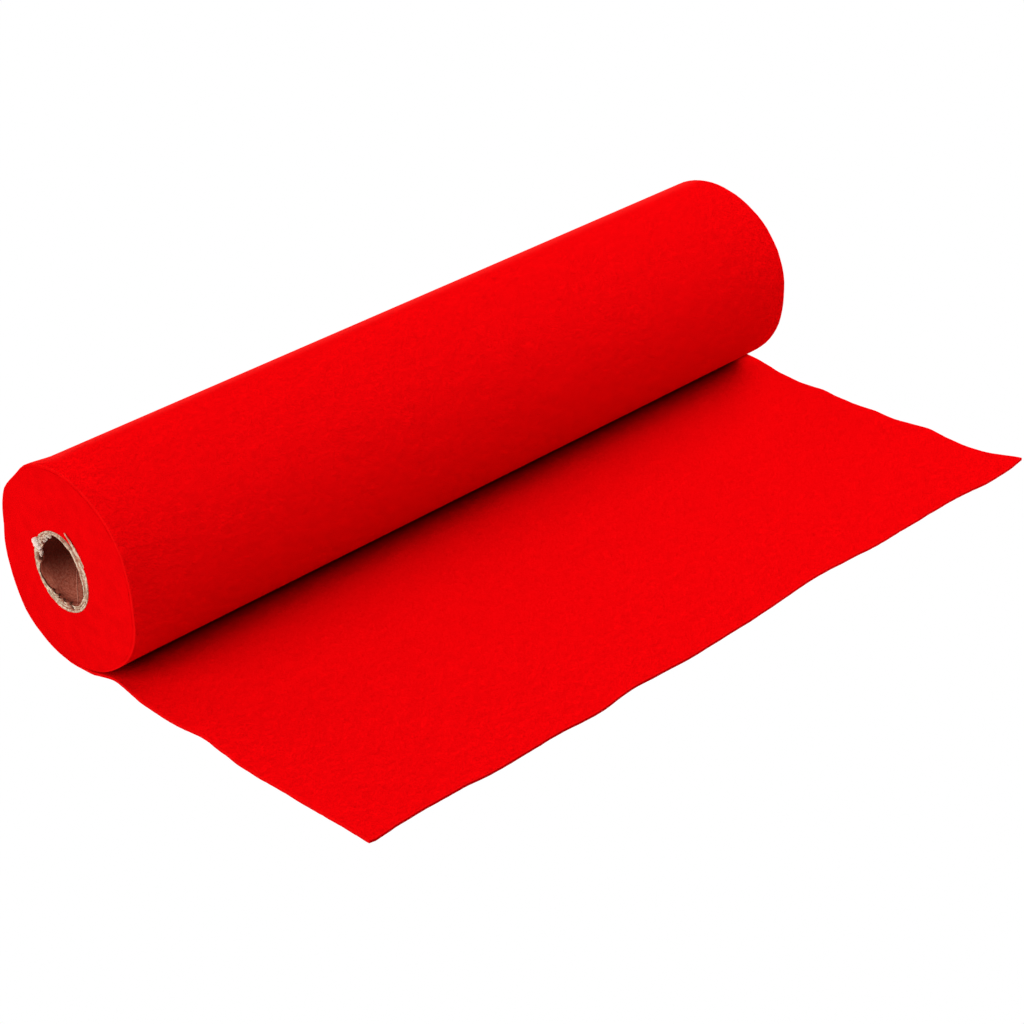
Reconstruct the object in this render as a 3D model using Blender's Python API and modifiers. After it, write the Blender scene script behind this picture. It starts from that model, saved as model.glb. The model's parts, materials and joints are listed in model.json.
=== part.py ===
"""Roll of craft felt wound on a cardboard tube, with its loose end laid out flat in front of it.

Metres, +Z up. +X runs along the roll's axis from its near end to its far end, and the loose end runs to -Y.
The cloth comes down the back of the roll, passes under it and lies on the ground. While the pieces are
shaped, x = 0 is the roll's near end and y = 0 is below its axis. At the end both pieces are moved together,
so that the origin is at the middle of the underside of the whole part.
"""

import math
from collections import namedtuple

import bmesh
import bpy
from mathutils import Vector

MM = 0.001

# Driving dimensions
FELT_WIDTH = 0.450
FELT_THICKNESS = 0.0015
ROLL_RADIUS = 0.0511
LOOSE_LENGTH = 0.2155
NIP_REACH = 0.0055
REST_HALF_WIDTH = 0.006
CORE_RADIUS = 0.0204
CORE_WALL = 0.0031
CORE_PROUD = 0.0024
CORE_RISE = 0.0008
FIT_GAP = 0.0003

# The loose end curls within this far of its front edge, whose unevenness fades out behind it by this power.
CURL_REACH = 0.040
EDGE_FADE = 4

# An edge that stands out by less than this ends level with the roll.
LEVEL_WITHIN = 0.0001

# The wound form stands on the cloth that runs out from under it.
AXIS_HEIGHT = FELT_THICKNESS + FIT_GAP + ROLL_RADIUS
CORE_HEIGHT = AXIS_HEIGHT + CORE_RISE
BORE_RADIUS = CORE_RADIUS + FIT_GAP

# Steps of the meshes
TURN_STEPS = 60
BORE_STEPS = 48
WIDTH_STEPS = 18
LOOSE_STEPS = 20

FELT_RED = (0.80, 0.003, 0.004, 1.0)
BOARD_TAN = (0.52, 0.36, 0.22, 1.0)
SHARP_EDGE = math.radians(40)

# The wound form's outer turn, in mm: how far it stands out from a true circle at each end of the roll, and how
# far its cut edge stands past the roll's far end. The turn is in degrees, from the roll's underside at -90 up
# the back, which is 0, over the top at 90 and down the front.
Turn = namedtuple("Turn", "turn near far overhang")
OUTER_TURN = (
    Turn(-90, 1.8, 1.8, 9.0),
    Turn(-62, 2.0, 1.4, 8.0),
    Turn(-45, 2.1, 1.0, 7.0),
    Turn(-30, 0.9, 0.5, 6.0),
    Turn(-14, -1.4, 0.0, 4.8),
    Turn(8, -2.9, -0.4, 3.2),
    Turn(24, -1.0, -0.4, 2.2),
    Turn(38, 0.3, -0.1, 1.4),
    Turn(64, 0.4, 0.2, 0.4),
    Turn(90, 0.2, 0.0, 0.0),
    Turn(118, -0.2, -0.5, 0.0),
    Turn(142, 1.1, 0.2, 0.0),
    Turn(164, 0.4, 0.2, 0.0),
    Turn(186, -0.2, -0.8, 0.0),
    Turn(214, -0.3, -0.2, 0.0),
    Turn(240, 0.0, 0.2, 0.0),
    Turn(270, 0.0, 0.0, 0.0),
)

# The loose end's cut sides, in mm: how far each stands along +X from its own end of the roll, at a distance
# ahead of the roll's axis.
Side = namedtuple("Side", "ahead near far")
SIDES = (
    Side(0, 0.0, 9.0),
    Side(7, 0.0, 8.6),
    Side(12, 1.3, 8.2),
    Side(20, 2.9, 7.3),
    Side(28, 2.0, 5.4),
    Side(36, 0.3, 3.0),
    Side(45, -1.2, 0.2),
    Side(55, -2.6, -1.7),
    Side(66, -3.3, -3.2),
    Side(77, -3.8, -3.2),
    Side(91, -2.8, -5.2),
    Side(105, -4.5, -7.0),
    Side(116, -6.0, -7.0),
    Side(134, -8.1, -8.8),
    Side(154, -8.5, -7.5),
    Side(171, -9.4, -10.4),
    Side(187, -9.8, -12.5),
    Side(197, -10.2, -11.6),
    Side(207, -10.6, -8.8),
    Side(216, -11.1, -6.8),
)

# The loose end's front edge, in mm: how far it stands back from its mean line, and how high it curls.
Front = namedtuple("Front", "along back curl")
FRONT = (
    Front(-12, 0.2, 0.0),
    Front(-4, 0.5, 0.1),
    Front(8, 1.2, 0.2),
    Front(40, 0.9, 0.3),
    Front(60, -0.6, 0.1),
    Front(104, -0.9, 0.2),
    Front(123, -2.3, 0.1),
    Front(150, 0.0, 0.4),
    Front(186, -1.4, 0.1),
    Front(212, -0.9, 0.0),
    Front(247, 0.7, 0.1),
    Front(282, 2.7, 0.3),
    Front(331, 0.6, 0.0),
    Front(382, 1.0, 0.2),
    Front(416, -1.4, 0.0),
    Front(434, -0.5, 0.2),
    Front(444, 0.4, 0.3),
)

# The tube's torn near rim, in mm past its plain end, round the same turns as the roll.
Torn = namedtuple("Torn", "turn reach")
TORN_RIM = (
    Torn(0, 0.0),
    Torn(18, 0.4),
    Torn(30, 2.4),
    Torn(42, 1.9),
    Torn(54, 0.2),
    Torn(84, 0.5),
    Torn(106, 0.0),
    Torn(116, 1.8),
    Torn(128, 0.0),
    Torn(180, 0.2),
    Torn(236, -0.2),
    Torn(262, -1.2),
    Torn(276, 0.5),
    Torn(318, 0.1),
    Torn(360, 0.0),
)


def read_table(rows, place, column):
    """Read one column at a place between the table's rows, on a smooth curve that passes through every row and
    is level where the rows turn back."""
    last = len(rows) - 1
    place = min(max(place, rows[0][0]), rows[last][0])
    low = max(i for i in range(last) if rows[i][0] <= place)
    values = [getattr(row, column) for row in rows]

    def slope(i):
        if i in (0, last) or (values[i] - values[i - 1]) * (values[i + 1] - values[i]) <= 0:
            return 0.0
        return (values[i + 1] - values[i - 1]) / (rows[i + 1][0] - rows[i - 1][0])

    span = rows[low + 1][0] - rows[low][0]
    t = (place - rows[low][0]) / span
    rise = (values[low + 1] - values[low]) * t * t * (3 - 2 * t)
    bend = t * (1 - t) * span * (slope(low) * (1 - t) - slope(low + 1) * t)
    return values[low] + rise + bend


def between(start, end, share):
    return start + (end - start) * share


# The places of the outline's points: round the outer turn, from the flat spot to the nip, and along the loose
# end, from its front edge to the nip. The lip is the part of the outer turn whose edge can overhang.
LIFT_OFF = 2 * math.degrees(math.asin(REST_HALF_WIDTH / ROLL_RADIUS))
TURNS = [between(LIFT_OFF - 90, 270 - LIFT_OFF, i / TURN_STEPS) for i in range(TURN_STEPS + 1)]
AHEADS = [between(LOOSE_LENGTH, NIP_REACH, i / LOOSE_STEPS) for i in range(LOOSE_STEPS + 1)]
LIP_STEPS = next(i for i, turn in enumerate(TURNS) if turn > 90)


def roll_point(turn, share, depth=0.0):
    """A point of the outer turn, at a turn in degrees, a share of its width and a depth below its surface."""
    stand = between(read_table(OUTER_TURN, turn, "near"), read_table(OUTER_TURN, turn, "far"), share)
    radius = ROLL_RADIUS + stand * MM - depth
    width = FELT_WIDTH + read_table(OUTER_TURN, turn, "overhang") * MM
    angle = math.radians(turn)
    height = AXIS_HEIGHT + radius * math.sin(angle)
    return Vector((width * share, radius * math.cos(angle), max(height, depth)))


def rest_point(share, height):
    """A point of the flat spot that the roll rests on, behind its axis."""
    width = FELT_WIDTH + OUTER_TURN[0].overhang * MM
    return Vector((width * share, REST_HALF_WIDTH, height))


def loose_point(ahead, share, height):
    """A point of the loose end, at a distance ahead of the roll's axis and a height within the cloth."""
    near = read_table(SIDES, ahead / MM, "near") * MM
    far = FELT_WIDTH + read_table(SIDES, ahead / MM, "far") * MM
    x = between(near, far, share)
    back = read_table(FRONT, x / MM, "back") * MM * min(ahead / LOOSE_LENGTH, 1.0) ** EDGE_FADE
    rise = max(0.0, 1 - (LOOSE_LENGTH - ahead) / CURL_REACH)
    curl = read_table(FRONT, x / MM, "curl") * MM * rise * rise
    return Vector((x, back - ahead, height + curl))


def felt_ring(share):
    """One outline of the cloth: under the loose end, up the back of the roll, over it and out on top."""
    underside = [loose_point(ahead, share, 0.0) for ahead in AHEADS]
    wound = [roll_point(turn, share) for turn in TURNS]
    upper_side = [loose_point(ahead, share, FELT_THICKNESS) for ahead in reversed(AHEADS)]
    return underside + [rest_point(share, 0.0)] + wound + upper_side


def bore_ring(share):
    """One outline of the hole that the tube fills."""
    points = []
    for i in range(BORE_STEPS):
        angle = 2 * math.pi * i / BORE_STEPS
        y = BORE_RADIUS * math.cos(angle)
        z = CORE_HEIGHT + BORE_RADIUS * math.sin(angle)
        points.append(Vector((FELT_WIDTH * share, y, z)))
    return points


def skin(mesh, rings):
    """Join each closed ring of vertices to the next one."""
    for ring, following in zip(rings, rings[1:]):
        for i in range(len(ring)):
            mesh.faces.new((ring[i - 1], ring[i], following[i], following[i - 1]))


def strip(mesh, side, other):
    """Join two rows of vertices. Where a vertex is in both, the strip narrows to it."""
    for pair in zip(side, side[1:], other[1:], other):
        corners = list(dict.fromkeys(pair))
        if len(corners) > 2:
            mesh.faces.new(corners)


def close_end(mesh, share, outline, bore):
    """Close one end: the cut edge of the loose end and outer turn, then the flat end of the turns inside."""
    end = FELT_WIDTH * share
    underside = outline[: LOOSE_STEPS + 1]
    upper_side = outline[-LOOSE_STEPS - 1 :]
    wound = outline[LOOSE_STEPS + 2 : -LOOSE_STEPS - 1]
    strip(mesh, underside, upper_side[::-1])

    # Below the cut edge lies the next turn, which ends at the roll's own end. Where the edge stands past that
    # end at the nip, the front of the roll comes down to it there.
    nip = upper_side[0]
    lip = wound[: LIP_STEPS + 1]
    below = [rest_point(share, FELT_THICKNESS)]
    below += [roll_point(turn, share, FELT_THICKNESS) for turn in TURNS[: LIP_STEPS + 1]]
    edge = [nip]
    inner = [nip if is_level(nip, end) else wound[-1]]
    for point in below:
        vert = mesh.verts.new(point)
        edge.append(vert)
        inner.append(vert if is_level(vert, end) else mesh.verts.new((end, point.y, point.z)))
    strip(mesh, [underside[-1], outline[LOOSE_STEPS + 1]] + lip, edge)
    strip(mesh, edge, inner)

    around = list(dict.fromkeys(inner + wound[LIP_STEPS:]))
    edges = [mesh.edges.get((ring[i - 1], ring[i])) for ring in (around, bore) for i in range(len(ring))]
    bmesh.ops.triangle_fill(mesh, use_beauty=True, edges=edges, normal=Vector((1, 0, 0)))


def is_level(vert, end):
    """Whether a vertex stands on the roll's end, and not out past it."""
    return abs(vert.co.x - end) < LEVEL_WITHIN


def principled(name, colour, roughness):
    material = bpy.data.materials.new(name)
    material.use_nodes = True
    shader = material.node_tree.nodes["Principled BSDF"]
    shader.inputs["Base Color"].default_value = colour
    shader.inputs["Roughness"].default_value = roughness
    shader.inputs["Metallic"].default_value = 0.0
    material.diffuse_color = colour
    return material


def add_piece(name, mesh, material, collection):
    """Make an object of a bmesh, smooth where it is round."""
    data = bpy.data.meshes.new(name)
    mesh.to_mesh(data)
    mesh.free()
    data.shade_smooth()
    data.set_sharp_from_angle(angle=SHARP_EDGE)
    data.materials.append(material)
    piece = bpy.data.objects.new(name, data)
    collection.objects.link(piece)
    return piece


def make_felt(collection):
    """The one length of cloth: the wound form with its bore, running into the flat loose end."""
    mesh = bmesh.new()
    shares = [i / WIDTH_STEPS for i in range(WIDTH_STEPS + 1)]
    outlines = [[mesh.verts.new(point) for point in felt_ring(share)] for share in shares]
    bores = [[mesh.verts.new(point) for point in bore_ring(share)] for share in (0.0, 1.0)]
    skin(mesh, outlines)
    skin(mesh, bores)
    close_end(mesh, 0.0, outlines[0], bores[0])
    close_end(mesh, 1.0, outlines[-1], bores[-1])
    bmesh.ops.recalc_face_normals(mesh, faces=mesh.faces)
    return add_piece("felt", mesh, principled("red felt", FELT_RED, 0.95), collection)


def make_core(collection):
    """The cardboard tube: an open cylinder with one torn rim, given its wall by Solidify."""
    mesh = bmesh.new()
    bmesh.ops.create_cone(
        mesh,
        cap_ends=False,
        segments=BORE_STEPS,
        radius1=CORE_RADIUS,
        radius2=CORE_RADIUS,
        depth=FELT_WIDTH,
    )
    for vert in mesh.verts:
        # The primitive stands on Z. Its top becomes the near rim.
        turn = math.degrees(math.atan2(vert.co.y, -vert.co.x)) % 360
        torn = read_table(TORN_RIM, turn, "reach") * MM if vert.co.z > 0 else 0.0
        x = FELT_WIDTH / 2 - vert.co.z - CORE_PROUD - torn
        vert.co = Vector((x, -vert.co.x, vert.co.y + CORE_HEIGHT))
    core = add_piece("core_tube", mesh, principled("tube board", BOARD_TAN, 0.85), collection)
    wall = core.modifiers.new("wall", "SOLIDIFY")
    wall.thickness = CORE_WALL
    wall.offset = -1.0
    wall.use_even_offset = True
    return core


def centre_on_underside(pieces):
    """Move the pieces together so that the origin is at the middle of the underside of them all."""
    points = [vert.co for piece in pieces for vert in piece.data.vertices]
    low = Vector(min(point[axis] for point in points) for axis in range(3))
    high = Vector(max(point[axis] for point in points) for axis in range(3))
    shift = Vector((-(low.x + high.x) / 2, -(low.y + high.y) / 2, -low.z))
    for piece in pieces:
        for vert in piece.data.vertices:
            vert.co += shift


def main():
    for thing in list(bpy.data.objects):
        bpy.data.objects.remove(thing)
    collection = bpy.data.collections.new("Felt roll")
    bpy.context.scene.collection.children.link(collection)
    pieces = [make_felt(collection), make_core(collection)]
    centre_on_underside(pieces)


main()
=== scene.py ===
"""Roll of craft felt on a cardboard tube: the looks.

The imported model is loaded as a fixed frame. The cloth is one long sheet, wound round the tube turn by turn,
which comes down the back of the roll, passes under it and lies flat in front. The tube has a torn, layered
near rim. Metres, +Z up, +X along the roll from its near end to its far end, and the loose end runs to -Y.
"""

import json
import math
from collections import namedtuple

import bmesh
import bpy
from bpy.props import FloatProperty, FloatVectorProperty, PointerProperty
from mathutils import Matrix, Vector, noise

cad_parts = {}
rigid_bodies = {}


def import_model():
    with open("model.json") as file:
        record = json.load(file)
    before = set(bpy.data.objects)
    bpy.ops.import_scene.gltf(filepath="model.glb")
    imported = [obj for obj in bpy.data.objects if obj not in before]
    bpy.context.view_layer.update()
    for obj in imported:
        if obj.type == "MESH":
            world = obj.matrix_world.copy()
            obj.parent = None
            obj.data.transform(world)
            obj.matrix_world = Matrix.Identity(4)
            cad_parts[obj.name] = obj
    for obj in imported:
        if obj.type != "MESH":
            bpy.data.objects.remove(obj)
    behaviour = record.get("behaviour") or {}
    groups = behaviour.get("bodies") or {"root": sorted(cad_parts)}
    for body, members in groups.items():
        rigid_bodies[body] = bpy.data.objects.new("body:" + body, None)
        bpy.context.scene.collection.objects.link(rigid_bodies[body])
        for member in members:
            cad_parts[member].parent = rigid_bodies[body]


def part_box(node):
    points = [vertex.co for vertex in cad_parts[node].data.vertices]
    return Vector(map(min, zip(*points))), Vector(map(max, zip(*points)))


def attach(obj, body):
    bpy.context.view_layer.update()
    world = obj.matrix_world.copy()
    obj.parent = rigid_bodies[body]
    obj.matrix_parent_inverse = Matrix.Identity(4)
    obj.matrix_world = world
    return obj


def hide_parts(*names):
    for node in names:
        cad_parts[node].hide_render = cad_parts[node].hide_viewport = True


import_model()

bl_info = {
    "name": "Felt Roll",
    "version": (1, 0, 0),
    "blender": (4, 5, 0),
    "location": "View3D > Sidebar > Felt Roll",
    "description": "Winds a roll of felt on a torn cardboard tube, with its loose end laid out flat",
    "category": "Add Mesh",
}

MM = 0.001


def table(columns, *rows):
    """A table whose rows can be read by the names of its columns."""
    kind = namedtuple("Kind", columns)
    return tuple(kind(*row) for row in rows)


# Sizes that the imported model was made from.
FELT_WIDTH = 0.450
FELT_THICKNESS = 0.0015
ROLL_RADIUS = 0.0511
LOOSE_LENGTH = 0.2155
REST_HALF_WIDTH = 0.006
REST_PRESS = 0.0004
CORE_RADIUS = 0.0204
CORE_WALL = 0.0031
CORE_PROUD = 0.0024
CORE_RISE = 0.0008
FIT_GAP = 0.0003
CURL_REACH = 0.040
EDGE_FADE = 4

# The roll's own place in the frame, read from the tube that it is wound on.
TUBE_LOW, TUBE_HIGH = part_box("core_tube")
NEAR_END = TUBE_HIGH.x - FELT_WIDTH + CORE_PROUD
AXIS_Y = (TUBE_LOW.y + TUBE_HIGH.y) / 2
CORE_HEIGHT = (TUBE_LOW.z + TUBE_HIGH.z) / 2
AXIS_HEIGHT = CORE_HEIGHT - CORE_RISE

# How the turns lie: the outer one drops on to the next by the loose end's thickness and its gap, and the
# others by their pitch, down to just above the radius that the cloth is wound from. The outer turn starts as
# thick as the loose end, and fills its room after a small share of a turn.
FIRST_DROP = FELT_THICKNESS + FIT_GAP
TURN_PITCH = 0.0015
TURN_GAP = 0.000004
CORE_GAP = 0.0001
INNER_END_RISE = 0.0003
WOUND_FROM = CORE_RADIUS + CORE_GAP
WOUND_TURNS = 1 + (ROLL_RADIUS - WOUND_FROM - INNER_END_RISE) / TURN_PITCH
FILLED_AFTER = 0.12

# The turns are pushed along the roll a little, the inner ones most, so that they end level with the tube's
# rim. Each inner turn's cut sides stray from there.
TELESCOPE = 0.0030
NEAR_STRAY = 0.00002
FAR_STRAY = 0.0002

# How a hand-cut edge strays from its line, in long wavers and short ones. The inner turns' near sides show
# only a share of it.
CUT_WAVERS = table("height length row", (0.00034, 0.011, 0), (0.00014, 0.003, 40))
INNER_UNEVEN = 0.05

# Steps of the cloth's mesh. Its columns are places across its width, with a narrow strip at each cut side,
# and past the fine turns it has only some of them.
TURN_STEPS = 72
LOOSE_STEPS = 100
SIDE_STRIP = 0.0007
WIDE_COLUMNS = 150
COLUMNS = (
    0.0,
    SIDE_STRIP / FELT_WIDTH,
    *(column / WIDE_COLUMNS for column in range(1, WIDE_COLUMNS)),
    1 - SIDE_STRIP / FELT_WIDTH,
    1.0,
)
FINE_COLUMNS = tuple(range(len(COLUMNS)))
COARSE_COLUMNS = (0, 2, 4, 6, 9, 76, 150, 152)
FINE_TURNS = 1.05

# Where faces meet at more than this, the felt and the board show an edge.
FELT_EDGE_ANGLE = math.radians(50)
BOARD_EDGE_ANGLE = math.radians(40)

# The cut edge of the cloth: a point of it stands at a depth within the cloth, as a share of the thickness,
# and set back from the edge, as a share of the edge's rounding.
CUT_EDGE = table("depth back", (0.12, 0.35), (0.35, 0.0), (0.65, 0.0), (0.88, 0.35))
OUTER_ROUNDING = 0.00016
INNER_ROUNDING = 0.000001

# The wound form's outer turn, in mm: how far it stands out from a true circle at each end of the roll, and
# how far its cut edge stands past the roll's far end. The turn is in degrees, from the roll's underside at
# -90 up the back, which is 0, over the top at 90 and down the front.
OUTER_TURN = table(
    "turn near far overhang",
    (-90, 1.8, 1.8, 9.0), (-62, 2.0, 1.4, 8.0), (-45, 2.1, 1.0, 7.0), (-30, 0.9, 0.5, 6.0),
    (-14, -1.4, 0.0, 4.8), (8, -2.9, -0.4, 3.2), (24, -1.0, -0.4, 2.2), (38, 0.3, -0.1, 1.4),
    (64, 0.4, 0.2, 0.4), (90, 0.2, 0.0, 0.0), (118, -0.2, -0.5, 0.0), (142, 1.1, 0.2, 0.0),
    (164, 0.4, 0.2, 0.0), (186, -0.2, -0.8, 0.0), (214, -0.3, -0.2, 0.0), (235, -0.5, -0.3, 0.0),
    (252, 0.5, 0.5, 0.0), (270, 0.0, 0.0, 0.0),
)

# How far the cloth flares out or in right at the near end, in mm, and how far along the roll that reaches.
NEAR_LIP = table(
    "turn rise",
    (-90, 0.0), (-76, 0.4), (-52, 1.0), (-40, 0.9), (-26, 0.4), (-10, 0.8), (4, 1.1), (16, 0.4),
    (24, 0.7), (32, 1.0), (38, 0.3), (50, -0.6), (56, -0.2), (62, 0.9), (67, 1.4), (82, 1.3), (98, 1.5),
    (114, 1.3), (130, 0.5), (142, -0.6), (154, -0.7), (163, -1.5), (178, -2.0), (188, -1.6), (200, -0.1),
    (212, 0.7), (226, 0.6), (240, 0.0), (252, -0.6), (261, -0.3), (270, 0.0),
)
LIP_REACH = 0.018

# The loose end's cut sides, in mm: how far each stands along +X from its own end of the roll, at a distance
# ahead of the roll's axis.
SIDES = table(
    "ahead near far",
    (0, 0.0, 9.0), (7, 0.0, 8.6), (12, 1.3, 8.2), (20, 2.9, 7.3), (28, 2.0, 5.4), (36, 0.3, 3.0),
    (45, -1.2, 0.2), (55, -2.6, -1.7), (66, -3.3, -3.2), (77, -3.8, -3.2), (91, -2.8, -5.2),
    (105, -4.5, -7.0), (116, -6.0, -7.0), (134, -8.1, -8.8), (154, -8.5, -7.5), (171, -9.4, -10.4),
    (187, -9.8, -12.5), (197, -10.2, -11.6), (207, -10.6, -8.8), (216, -11.1, -6.8),
)

# The loose end's front edge, in mm: how far it stands back from its mean line, and how high it curls.
FRONT = table(
    "along back curl",
    (-12, 1.3, 0.0), (-8, 0.4, 0.1), (-4, 0.5, 0.1), (8, 1.2, 0.2), (40, 0.9, 0.3), (60, -0.6, 0.1),
    (104, -0.9, 0.2), (123, -2.3, 0.1), (150, 0.0, 0.4), (186, -1.4, 0.1), (212, -0.9, 0.0),
    (247, 0.7, 0.1), (282, 2.7, 0.3), (331, 0.6, 0.0), (382, 1.0, 0.2), (416, -1.4, 0.0),
    (434, -0.5, 0.2), (444, 0.4, 0.3),
)

# How dark the painted shade in the nip between the roll and the loose end is, at a distance in mm ahead of
# the roll's axis. The painted shade comes in over the fade's length from the near end.
NIP_SHADE = table(
    "ahead shade",
    (0, 0.95), (14.5, 0.95), (16.0, 0.6), (18, 0.3), (20.5, 0.1), (24, 0.0),
)
NIP_FADE = 0.022

# How dark the painted shade on the roll's underside above the nip is, from what share of a turn, and over
# what share.
UNDER_SHADE = 0.6
UNDER_FROM = 0.91
UNDER_FADE = 0.04

# How dark the painted shade on the front edge next to the floor is, near and far, from and over what share
# of its length it lightens, and over what share of its height it comes in.
FRONT_SHADE_NEAR = 0.46
FRONT_SHADE_FAR = 0.12
LIGHTENS_FROM = 0.3
LIGHTENS_OVER = 0.4
FRONT_SHADE_REACH = 0.3

# How deep the pale fray of a cut side and of the front edge reaches, as a share of the thickness. The fray
# is partly a painted highlight.
SIDE_FRAY = 0.6
FRONT_FRAY = 0.25

# The felt's look: the sizes of its clumps, patches, grain and mottling, in metres, how its fibres lie, bend
# and repeat, how deep its grain is on its faces and cut sides, and how much darker it is there. Where it
# faces up it is darker too, from painted shade, and its grain is less deep.
CLUMP_SIZE = 0.0032
PATCH_SIZE = 0.022
GRAIN_SIZE = 0.0011
MOTTLE_SIZE = 0.007
FIBRE_WAYS = (8, 55, 101, 146)
FIBRE_SCALE = (330.0, 3600.0, 1.0)
FIBRE_BEND = (0.004, 0.004, 0.0)
BEND_SIZE = 0.00625
FELT_DEPTH = 0.0011
CUT_DEPTH = 0.0005
CUT_SHADE = 0.115
CUT_MOTTLE = 0.08
FLAT_SHADE = 0.085
FLAT_LESS_DEEP = 0.4

# How much its clumps, fibres, grain and patches lighten the felt's tone, and how much they lift its surface.
# The tones between the fibres and of the painted shade in the nip, under the roll and on the front edge are
# shares of the felt's own colour.
CLUMP_LIGHT = 0.22
FIBRE_LIGHT = 0.28
GRAIN_LIGHT = 0.4
PATCH_LIGHT = 0.1
CLUMP_LIFT = 0.08
GRAIN_LIFT = 0.7
FIBRE_LIFT = 0.28
TONE_BETWEEN = 0.965
PAINTED_SHADE_TONE = 0.15

# A painted sheen of the fuzz colour comes in on faces turned from the eye and up, between two values of
# their facing weight. A frayed edge takes on some of that colour, mostly the red, as a painted highlight.
SHEEN_FACING = (0.69, 0.93)
FRAY_FUZZ = 0.6
FRAY_TINT = (1.0, 0.3, 0.3)

# The tube's torn near rim, in mm, round the same turns as the roll: how far it reaches past the tube's plain
# end, and the bore's radius there, where the inner plies are torn away or lean into it.
TORN_RIM = table(
    "turn reach bore",
    (0, 0.8, 17.2), (17, 0.9, 15.4), (35, 1.0, 15.0), (48, 1.0, 15.4), (58, 0.9, 17.2), (80, 0.8, 18.5),
    (93, 0.8, 18.9), (103, 0.7, 18.4), (120, 0.8, 17.8), (135, 0.8, 17.2), (155, 0.9, 17.4),
    (168, 0.8, 16.8), (188, 0.9, 17.2), (226, 0.8, 17.5), (238, 0.7, 17.0), (254, 0.8, 15.9),
    (265, 0.8, 15.4), (279, 0.9, 15.3), (289, 0.8, 15.6), (304, 0.9, 16.5), (315, 0.8, 17.2),
    (329, 0.8, 18.4), (342, 0.8, 18.3), (351, 0.7, 17.8), (360, 0.8, 17.2),
)

# Where plies are missing from the rim: the middle of the gap and its half width in degrees, the first and
# last share of the wall's depth that it takes, from the outside in, and how deep it is, in mm. Each gap is
# darkened with painted shade.
RIM_GAPS = table(
    "turn half first last deep",
    (6, 13, 0.4, 1.0, 1.9), (117, 17, 0.0, 0.45, 2.2), (138, 12, 0.15, 0.5, 1.5),
    (257, 8, 0.25, 1.0, 2.4), (278, 7, 0.6, 1.0, 1.7), (293, 5, 0.75, 1.0, 1.0), (308, 4, 0.8, 1.0, 0.8),
)

# Folds of the inner ply over the rim, in degrees, each with how far it stands out, in mm.
RIM_FOLDS = table(
    "turn half rise",
    (22, 5, 0.5), (51, 4, 0.8), (61, 4, 0.7), (71, 4, 0.6), (262, 4, 0.5), (288, 6, 0.5),
)

# Roughness of the rim's height and of its bore: rows of noise round the tube, one for each ply, with their
# count of lumps and their height in metres.
RIM_ROUGH = table("row lumps height", (10, 9.0, 0.00045), (20, 31.0, 0.00035), (30, 80.0, 0.00022))
BORE_ROUGH = table("row lumps height", (60, 26.0, 0.0006), (70, 70.0, 0.0003))

# Two arcs of the rim, in degrees: the thin one, where the inner plies stand lower, and the one whose outer
# ply has a dark line of painted shade round it.
THIN_ARC, LINED_ARC = table("turn half fade", (345, 75, 25), (190, 110, 40))

# The wad of torn plies at the rim, in mm: its lumps, by their place from the roll's near end and the tube's
# axis. The first ones make its egg-shaped end, and the others the torn teeth beside it, with a dark line of
# painted shade between them.
EGG = table(
    "x y z radius",
    (-4.4, 15.3, 11.9, 1.75), (-4.2, 14.6, 10.4, 1.8), (-3.9, 13.6, 8.9, 1.3),
)
TEETH = table(
    "x y z radius",
    (-3.9, 12.0, 13.7, 1.0), (-3.7, 11.3, 12.2, 0.95), (-3.8, 9.9, 15.1, 0.95), (-3.6, 9.1, 13.6, 0.85),
    (-3.7, 7.9, 16.2, 0.85), (-3.5, 7.2, 15.1, 0.7), (-3.5, 5.4, 17.3, 0.8), (-3.4, 4.4, 17.0, 0.6),
    (-3.4, 13.6, 7.2, 0.9), (-3.2, 13.9, 6.0, 0.8), (-3.0, 14.4, 4.8, 0.75), (-2.8, 15.1, 3.6, 0.7),
)

# How finely the wad's lumps run together, the size of its creases, their mean and their depth, the size and
# height of its pulp's roughness, and how wide the painted shade by the egg is. The creases are darkened
# with painted shade too.
WAD_VOXEL = 0.00022
CREASE_SIZE = 0.0014
CREASE_MEAN = 0.25
EGG_CRUMPLE = 0.0005
TEETH_CRUMPLE = 0.0008
PULP_SIZE = 0.0009
PULP_HEIGHT = 0.00015
SHADE_BY_EGG = 0.0007

# The outer ply's torn-off sliver, in mm: its strip's middle from its root to its tip, and its half width.
# The noise that makes its sides ragged and warps it has a span of its own along it. It also curls across its
# width, and it is stained darker in places.
SLIVER = table(
    "share x y z half",
    (0.0, -2.9, -18.4, 8.0, 1.1), (0.3, -3.3, -15.9, 13.0, 1.2), (0.55, -3.5, -13.2, 17.3, 1.0),
    (0.8, -3.5, -10.5, 20.5, 0.65), (1.0, -3.4, -8.0, 22.9, 0.1),
)
SLIVER_STEPS = 28
SLIVER_THICKNESS = 0.0004
RAGGED_SPAN = 0.013
RAGGED_SIZE = 0.0011
RAGGED_SHARE = 0.25
WARP_SIZE = 0.002
SLIVER_WARP = 0.00015
SLIVER_CURL = 0.0003
STAIN_SIZE = 0.0012

# The tube's wall: its plies, how deep the grooves between them are at the torn rim, how far the inner plies
# stand out past the outer ones, and how far in from the rim the tear, the lean of the plies, the painted
# shade in the bore and the bare board go. A gap in the plies fades over a share of the wall's depth, and its
# two sides are steeper than a plain smooth step. In the thin arc the inner plies stand lower instead.
PLIES = 3
PLY_GROOVE = 0.0009
INNER_PROUD = 0.0007
TEAR_REACH = 0.005
LEAN_REACH = 0.004
DARK_REACH = 0.0016
BARE_INSIDE = 0.0004
BARE_OUTSIDE = 0.0015
GAP_FADE = 0.12
GAP_STEEPNESS = 1.4
THIN_DROP = 1.4

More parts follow.
